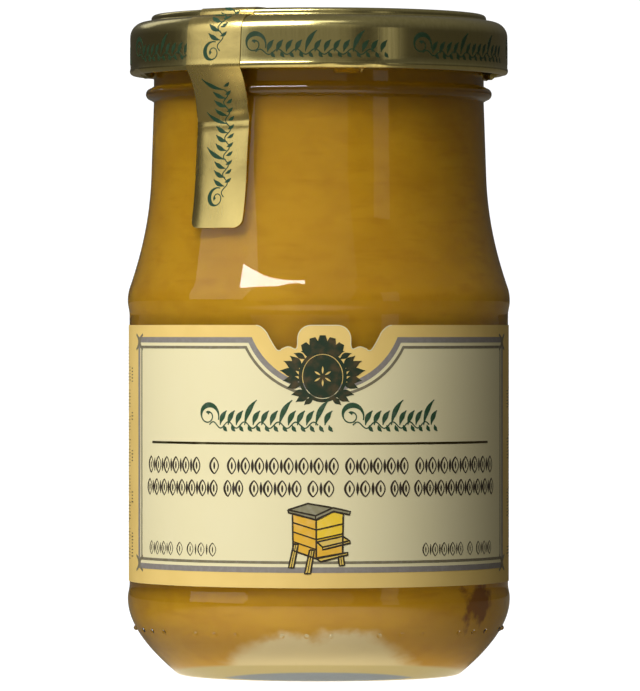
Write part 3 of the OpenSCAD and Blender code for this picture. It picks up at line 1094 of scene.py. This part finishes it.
def hivePicture(inks):
    # a small plain wooden hive on splayed legs; each colour is its own plate, and the lines lie on top
    x0, z0 = hive["foot"]

    def at(*points):
        return [(x0 + a, z0 + b) for a, b in points]

    leftFace = at((0, 0), (0, 6.0), (-3.7, 7.1), (-3.6, 1.3))
    rightFace = at((0, 0), (4.1, 0.8), (4.2, 7.0), (2.7, 7.4), (0, 6.0))
    roofTop = at((-4.4, 7.6), (-0.1, 6.7), (2.6, 7.95), (-1.3, 8.6))
    eaveLeft = at((-4.4, 7.6), (-4.3, 7.15), (-0.1, 6.1), (-0.1, 6.7))
    eaveRight = at((-0.1, 6.7), (-0.1, 6.1), (2.7, 7.35), (5.2, 6.85), (5.3, 7.35), (2.6, 7.95))
    underBoard = at((0.1, 2.3), (1.0, 1.4), (4.1, 2.15), (4.1, 0.8), (0, 0))
    boardTop = at((0.1, 2.6), (1.0, 1.8), (5.2, 2.8), (4.1, 3.5))
    boardEdge = at((1.0, 1.8), (1.0, 1.4), (5.3, 2.45), (5.2, 2.8))
    sill = at((-0.1, 0.1), (0.7, -0.45), (4.9, 0.6), (4.9, 0.95), (4.1, 0.85))
    legs = [at((-3.5, 2.3), (-4.3, -1.4), (-3.5, -1.4), (-2.8, 2.2)),
            at((-1.0, 1.4), (-1.8, -2.3), (-0.9, -2.3), (-0.3, 1.3)),
            at((3.4, 0.3), (3.6, -1.1), (4.4, -1.0), (4.2, 0.5))]
    fills = {"hiveYellow": [rightFace], "hiveOrange": [leftFace, underBoard],
             "hiveGrey": [roofTop, eaveLeft, eaveRight], "hivePale": [sill, boardTop, boardEdge] + legs}
    for name, shapes in fills.items():
        work = FlatWork()
        for shape in shapes:
            work.patch(shape)
        work.slice(0, label["fold"])
        printOn(work, name, inks[name])
    work = FlatWork()
    wide = hive["outline"]
    for shape in (leftFace, rightFace, roofTop, eaveLeft, eaveRight, boardTop, boardEdge, sill):
        work.line(shape + shape[:1], wide)
    thin = wide * hive["boardLine"]
    for t in hive["boards"]:
        work.line([mix(leftFace[0], leftFace[1], t), mix(leftFace[3], leftFace[2], t)], thin)
        # the lowest board shows on the left face only
        if t > hive["boards"][0]:
            work.line([mix(rightFace[0], rightFace[4], t), mix(rightFace[1], rightFace[2], t)], thin)
    for leg in legs:
        work.line(leg + leg[:1], wide)
        work.line([mix(leg[0], leg[3], 0.5), mix(leg[1], leg[2], 0.5)], wide * hive["legLine"])
    printOn(work, "hiveLines", inks["hiveLines"])


# the foil seal strip

seal = {
    "width": 10.1, "foil": 0.15, "turn": 32.8, "lean": 2.5, "onLid": 11, "touch": 5, "glue": 0.02,
    "corner": 1.5, "grid": 0.4, "columnGrid": 0.65, "curlEnd": -20,
    "spanOut": (1.75, 1.5), "spanIn": (0.8, -0.4), "freeRun": 4,
    "ripple": 0.15, "rippleScale": (0.22, 0.16), "ripplePlane": 3.1,
    "foldZ": 89.6, "foldDepth": 0.22, "foldSlant": 0.12, "foldW": 0.7, "foldEven": 0.6, "foldTilt": 0.2,
    "nextDown": 2.2, "nextSlant": 0.1, "nextW": 0.5, "nextShare": 0.6,
    "rightLift": 0.25, "rightDown": 3, "rightRun": 9, "rightEdge": 6, "leftDrop": 0.22, "leftEdge": 9,
}
sealLowZ = sealLow[2]


def sealPath():
    # what the strip lies on: lid, curl, a free span in to the bead, then the neck and the shoulder
    beadR = glass["finishR"] + glass["beadSeat"]
    touchZ = beadZ - seal["touch"]
    onCurl = arc(curlMid, curlR, curlStart, seal["curlEnd"], 3)
    out = (beadR + seal["spanOut"][0], beadZ + seal["spanOut"][1])
    back = (beadR + seal["spanIn"][0], beadZ + seal["spanIn"][1])

    def neckAt(z):
        return glass["finishR"] + glass["neckTaper"] * (beadZ - z) / glass["neckH"]

    shoulder = [p for p in reversed(shoulderPath()) if p[1] > sealLowZ]
    below = [p for p in shoulderPath() if p[1] <= sealLowZ][-1]
    last = shoulder[-1]
    foot = mix(last, below, (last[1] - sealLowZ) / (last[1] - below[1]))
    return ([(boreR - seal["onLid"], panelZ)]
            + lidFace()
            + onCurl
            + sweep(onCurl[-1], out, back, (neckAt(touchZ), touchZ), 14)[1:]
            + shoulder + [foot])


stripPath = sealPath()
stripReach = [0.0]
for before, after in zip(stripPath, stripPath[1:]):
    stripReach.append(stripReach[-1] + math.dist(before, after))
stripLength = stripReach[-1]


def reachAtHeight(height):
    # how far along the strip it lies at this height, below the lid
    for i in range(len(stripPath) - 1, 0, -1):
        if stripPath[i - 1][1] >= height:
            a, b = stripPath[i - 1], stripPath[i]
            t = (a[1] - height) / max(a[1] - b[1], 1e-6)
            return stripReach[i - 1] + (stripReach[i] - stripReach[i - 1]) * min(t, 1)
    return 0


def stripAt(along):
    # radius, height and outward direction of the strip's path
    spots = []
    for reach in (along - 0.25, along, along + 0.25):
        reach = min(max(reach, 0), stripLength)
        i = 1
        while i < len(stripReach) - 1 and stripReach[i] < reach:
            i += 1
        t = (reach - stripReach[i - 1]) / max(stripReach[i] - stripReach[i - 1], 1e-9)
        spots.append(mix(stripPath[i - 1], stripPath[i], t))
    before, here, after = spots
    length = math.dist(before, after)
    out = (-(after[1] - before[1]) / length, (after[0] - before[0]) / length)
    return here, out


def stripRelief(across, along):
    # soft ripples, two creases under the lid, a lifted right edge and a left edge that turns down
    free = clamp((along - reachAtHeight(curlMid[1])) / seal["freeRun"])
    scale = seal["rippleScale"]
    soft = noise.noise(Vector((across * scale[0], along * scale[1], seal["ripplePlane"]))) + 0.5
    side = across / (seal["width"] / 2)
    fold = reachAtHeight(seal["foldZ"])
    slant = along - fold + across * seal["foldSlant"]
    after = slant - seal["nextDown"] - across * seal["nextSlant"]
    folds = bell(slant, seal["foldW"]) + seal["nextShare"] * bell(after, seal["nextW"])
    creases = seal["foldDepth"] * folds * (seal["foldEven"] + seal["foldTilt"] * side)
    lifted = (seal["rightLift"] * max(side, 0) ** seal["rightEdge"]
              * bell(along - fold - seal["rightDown"], seal["rightRun"]))
    turned = seal["leftDrop"] * max(-side, 0) ** seal["leftEdge"]
    return free * (seal["ripple"] * soft + creases + lifted - turned)


def onStrip(across, along, lift):
    here, out = stripAt(along)
    height = lift + stripRelief(across, along)
    radius = here[0] + out[0] * height
    z = here[1] + out[1] * height
    lean = across - math.sin(math.radians(seal["lean"])) * (lidTopZ - z)
    forward = math.sqrt(max(radius * radius - lean * lean, 0))
    turn = math.radians(-90 - seal["turn"])
    return (forward * math.cos(turn) - lean * math.sin(turn),
            forward * math.sin(turn) + lean * math.cos(turn), z)


def sealStrip(finish):
    half = seal["width"] / 2
    corner = seal["corner"]
    work = FlatWork()
    work.patch([(-half, 0), (-half, stripLength - corner)]
               + arc((-half + corner, stripLength - corner), corner, 180, 90, 8)[1:]
               + arc((half - corner, stripLength - corner), corner, 90, 0, 8)[:-1]
               + [(half, stripLength - corner), (half, 0)])
    work.slice(0, seal["columnGrid"])
    work.slice(1, seal["grid"])
    work.lay("sealStrip", onStrip, seal["glue"], seal["glue"] + seal["foil"], finish, "seal_foil", ["seal"])


sealVine = {"pitch": 1.4, "lean": 0.52, "stem": 0.22, "low": 0.66, "hair": 0.17, "thick": 0.72,
            "tallEvery": 4, "voluteR": 1.7}


# neck and lid: the height of a vine's foot and how far across the strip the vine starts
sealPrint = {"height": 5.0, "neck": (74.2, 2.3), "neckTopZ": 94.6, "lid": (97.0, 2.6), "lidRun": 12.5,
             "sunk": 0.02, "lift": 0.02}


def sealOrnament(ink):
    # one vine climbs the strip and another goes on over the lid's edge
    work = FlatWork()
    climb = reachAtHeight(sealPrint["neck"][0]) - reachAtHeight(sealPrint["neckTopZ"])
    for (footZ, side), run in ((sealPrint["neck"], climb), (sealPrint["lid"], sealPrint["lidRun"])):
        foot = reachAtHeight(footZ)
        vine(work, 0, run, 0, sealPrint["height"], sealVine, lambda p: (side - p[1], foot - p[0]))
    work.slice(1, seal["grid"])
    face = seal["glue"] + seal["foil"]
    work.lay("sealVine", onStrip, face - sealPrint["sunk"], face + sealPrint["lift"], ink, "seal_foil")


skirtVine = {"pitch": 1.5, "lean": 0.55, "stem": 0.20, "low": 0.64, "hair": 0.18, "thick": 0.78,
             "tallEvery": 5, "voluteR": 1.95}
skirtPrint = {"base": 97.75, "height": 4.2, "groups": 7, "gap": 4.0, "start": -12.2,
              "sunk": 0.02, "lift": 0.02}


def skirtOrnament(ink):
    # the same vine in short runs all round the skirt; the strip covers the end of one
    work = FlatWork()
    around = 2 * math.pi * skirtR
    run = around / skirtPrint["groups"]
    for i in range(skirtPrint["groups"]):
        vine(work, skirtPrint["start"] + run * i, run - skirtPrint["gap"], skirtPrint["base"],
             skirtPrint["height"], skirtVine)
    work.lay("skirtVine", onSkirt, -skirtPrint["sunk"], skirtPrint["lift"], ink, "lid_metal")


# the pieces

print("making the glass")
clear = glassFinish()
lipRound = glass["lipRound"]
innerLip = arc((boreR + lipRound, lipZ - lipRound), lipRound, 90, 180, 6)
jarPoints, jarFaces = latheShape(outerPath() + innerLip + innerPath(0)[::-1], glass["segments"])
glassJar = makePiece("glassJar", jarPoints, jarFaces, clear, ["jar"])
ridgeParts = [threadRidge(i, lugAngle(i), curlFootZ, lid["lugTop"]) for i in range(glass["ridges"])]
unite(glassJar, [heelDots()] + ridgeParts)
smoothed(glassJar.data)
print("glass united:", len(glassJar.data.polygons), "faces")

print("filling the jar")
# the filling reaches just into the wall, so that no air shows between it and the glass
fill = {"sink": 0.12, "headspace": 6.45, "sag": 0.5, "shoulder": (0.85, 0.7)}
fillZ = lipZ - fill["headspace"]
fillTop = [(boreR + fill["sink"], fillZ),
           (boreR * fill["shoulder"][0], fillZ - fill["sag"] * fill["shoulder"][1]),
           (0, fillZ - fill["sag"])]
fillPoints, fillFaces = latheShape(innerPath(-fill["sink"]) + fillTop, glass["segments"])
makePiece("mustardFill", fillPoints, fillFaces, mustardFinish(), ["mustard"])

print("making the lid")
gold = lidFinish()
lidShell(gold)
lidLugs(gold)

print("printing the label")
darkGreen = inkFinish("greenInk", (0.018, 0.065, 0.028))
brown = inkFinish("brownInk", (0.026, 0.016, 0.007), mottle=0.15)
labelPaper(paperFinish())
panelPrint(inkFinish("creamInk", (0.83, 0.75, 0.46), mottle=0.12, grainSize=6, roughness=0.6),
           inkFinish("greyInk", (0.25, 0.225, 0.205), mottle=0.3),
           inkFinish("oliveInk", (0.19, 0.165, 0.10), mottle=0.3))
crestOrnament(inkFinish("crestInk", (0.012, 0.028, 0.014), mottle=1.0, grainSize=1.6,
                        worn=(0.075, 0.052, 0.022)))
titleOrnament(darkGreen)
rowPrint(brown, ruleFinish())
sideColumns(inkFinish("sideInk", (0.13, 0.10, 0.035), mottle=0.3))
hivePicture({
    "hiveOrange": inkFinish("orangeInk", (0.80, 0.45, 0.035), mottle=0.35, grainSize=1.5),
    "hiveYellow": inkFinish("yellowInk", (0.88, 0.60, 0.035), mottle=0.35, grainSize=1.5),
    "hiveGrey": inkFinish("roofInk", (0.26, 0.24, 0.14), mottle=0.4),
    "hivePale": inkFinish("paleInk", (0.74, 0.52, 0.10), mottle=0.35),
    "hiveLines": inkFinish("lineInk", (0.022, 0.015, 0.006), mottle=0.1),
})

print("sealing the lid")
sealStrip(foilFinish())
sealOrnament(inkFinish("sealInk", (0.010, 0.045, 0.020), mottle=0.05))
skirtOrnament(inkFinish("lidInk", (0.010, 0.034, 0.012), mottle=0.05))


# the stage; the floor's size, the softboxes' distance and the camera are in metres

stage = {
    "floorSize": 8.0, "floorWhite": 1.15, "floorDim": 0.12,
    "underR": 21, "underSoft": 5, "underGlow": 0.95,
    "pool": (-20, -115, 0), "poolR": 55, "poolSoft": 80, "poolGlow": 1.25, "floorTint": (1.0, 0.88, 0.65),
    "skyWhite": 1.1, "skyDim": (0.047, 0.0435, 0.035), "skyTop": (0.24, 0.235, 0.22),
}
softboxes = {
    # azimuth from the front towards +X, elevation, distance in metres, half angles across and up,
    # radiance, colour and, for the key, how far its left end is tipped down
    "keySoftbox": (-34, 45.4, 0.9, 17.8, 11, 15.6, (1, 1, 0.98), 13),
    "sidePanel": (-64, 22, 0.9, 20, 20, 1.0, (1, 1, 0.98)),
    "leftBack": (-147, 32, 0.9, 9, 11, 0.9, (1, 1, 0.95)),
    "frontFill": (-12, 20, 0.9, 32, 22, 0.23, (1, 0.95, 0.8)),
    "topPanel": (2, 60, 0.9, 9, 5, 2.4, (1, 1, 0.98)),
    "rightStrip": (43, 7, 0.9, 5.5, 12, 0.42, (1, 0.96, 0.85)),
}


def addSoftbox(name, azimuth, elevation, distance, halfAcross, halfUp, radiance, colour, roll=0):
    lamp = bpy.data.lights.new(name, "AREA")
    lamp.color = colour
    lamp.shape = "RECTANGLE"
    lamp.size = 2 * distance * math.tan(math.radians(halfAcross))
    lamp.size_y = 2 * distance * math.tan(math.radians(halfUp))
    lamp.energy = radiance * math.pi * lamp.size * lamp.size_y
    holder = addObject(name, lamp)
    turn = math.radians(azimuth)
    tip = math.radians(elevation)
    away = Vector((math.sin(turn) * math.cos(tip), -math.cos(turn) * math.cos(tip), math.sin(tip)))
    middle = Vector((0, 0, (cadBox[0][2] + cadBox[1][2]) / 2))
    holder.location = middle + away * distance
    rolled = Quaternion((0, 0, 1), math.radians(roll))
    holder.rotation_euler = (away.to_track_quat("Z", "Y") @ rolled).to_euler()


def addFloor():
    half = stage["floorSize"] / 2
    mesh = bpy.data.meshes.new("floor")
    corners = [(-half, -half, 0), (half, -half, 0), (half, half, 0), (-half, half, 0)]
    mesh.from_pydata(corners, [], [(0, 1, 2, 3)])
    floor = addObject("floor", mesh)
    pale = Finish("paleFloor", {"Base Color": (0.04, 0.04, 0.04), "Roughness": 0.8,
                                "Specular IOR Level": 0.0, "Emission Strength": stage["floorWhite"]})
    # the camera sees plain white; gloss and glass see a dim floor with a pool of light in front
    seen = pale.add("ShaderNodeLightPath", output="Is Camera Ray")
    under = pale.fade(pale.near((0, 0, 0)), stage["underR"], stage["underR"] + stage["underSoft"],
                      stage["underGlow"])
    pool = pale.fade(pale.near(stage["pool"]), stage["poolR"], stage["poolR"] + stage["poolSoft"],
                     stage["poolGlow"])
    glow = (under + pool + stage["floorDim"]) * (1 / stage["floorWhite"])
    warm = pale.add("ShaderNodeVectorMath", {"operation": "SCALE"}, {0: stage["floorTint"], "Scale": glow})
    pale.feed("Emission Color", pale.blend(seen, warm, (1.0, 1.0, 1.0)))
    mesh.materials.append(pale.material)
    floor.visible_diffuse = False


def addWorld():
    world = bpy.data.worlds.new("studio")
    world.use_nodes = True
    nodes = Nodes(world.node_tree)
    nodes.tree.nodes.clear()
    spot = nodes.add("ShaderNodeTexCoord", output="Generated")
    up = nodes.add("ShaderNodeSeparateXYZ", {}, {0: spot}, output="Z")
    shade = nodes.blend(up, stage["skyDim"], stage["skyTop"])
    dim = nodes.add("ShaderNodeBackground", {}, {"Color": shade})
    white = nodes.add("ShaderNodeBackground", {}, {"Color": (1, 1, 1, 1), "Strength": stage["skyWhite"]})
    seen = nodes.add("ShaderNodeLightPath", output="Is Camera Ray")
    sky = nodes.add("ShaderNodeMixShader", {}, {0: seen, 1: dim, 2: white})
    result = nodes.tree.nodes.new("ShaderNodeOutputWorld")
    nodes.tree.links.new(sky.socket, result.inputs["Surface"])
    bpy.context.scene.world = world


camera = {"x": 0.00019, "distance": 0.979, "height": 0.056, "lens": 317.4, "sensor": 36,
          "shiftY": -0.0297, "nearest": 0.05, "farthest": 50}


def addCamera():
    lens = bpy.data.cameras.new("camera")
    lens.lens = camera["lens"]
    lens.sensor_width = camera["sensor"]
    lens.shift_y = camera["shiftY"]
    lens.clip_start = camera["nearest"]
    lens.clip_end = camera["farthest"]
    holder = addObject("camera", lens)
    holder.location = (camera["x"], -camera["distance"], camera["height"])
    holder.rotation_euler = (math.pi / 2, 0, 0)
    bpy.context.scene.camera = holder


addFloor()
addWorld()
addCamera()
for boxName, values in softboxes.items():
    addSoftbox(boxName, *values)
bpy.context.scene.view_settings.view_transform = "Standard"
print("stage set")
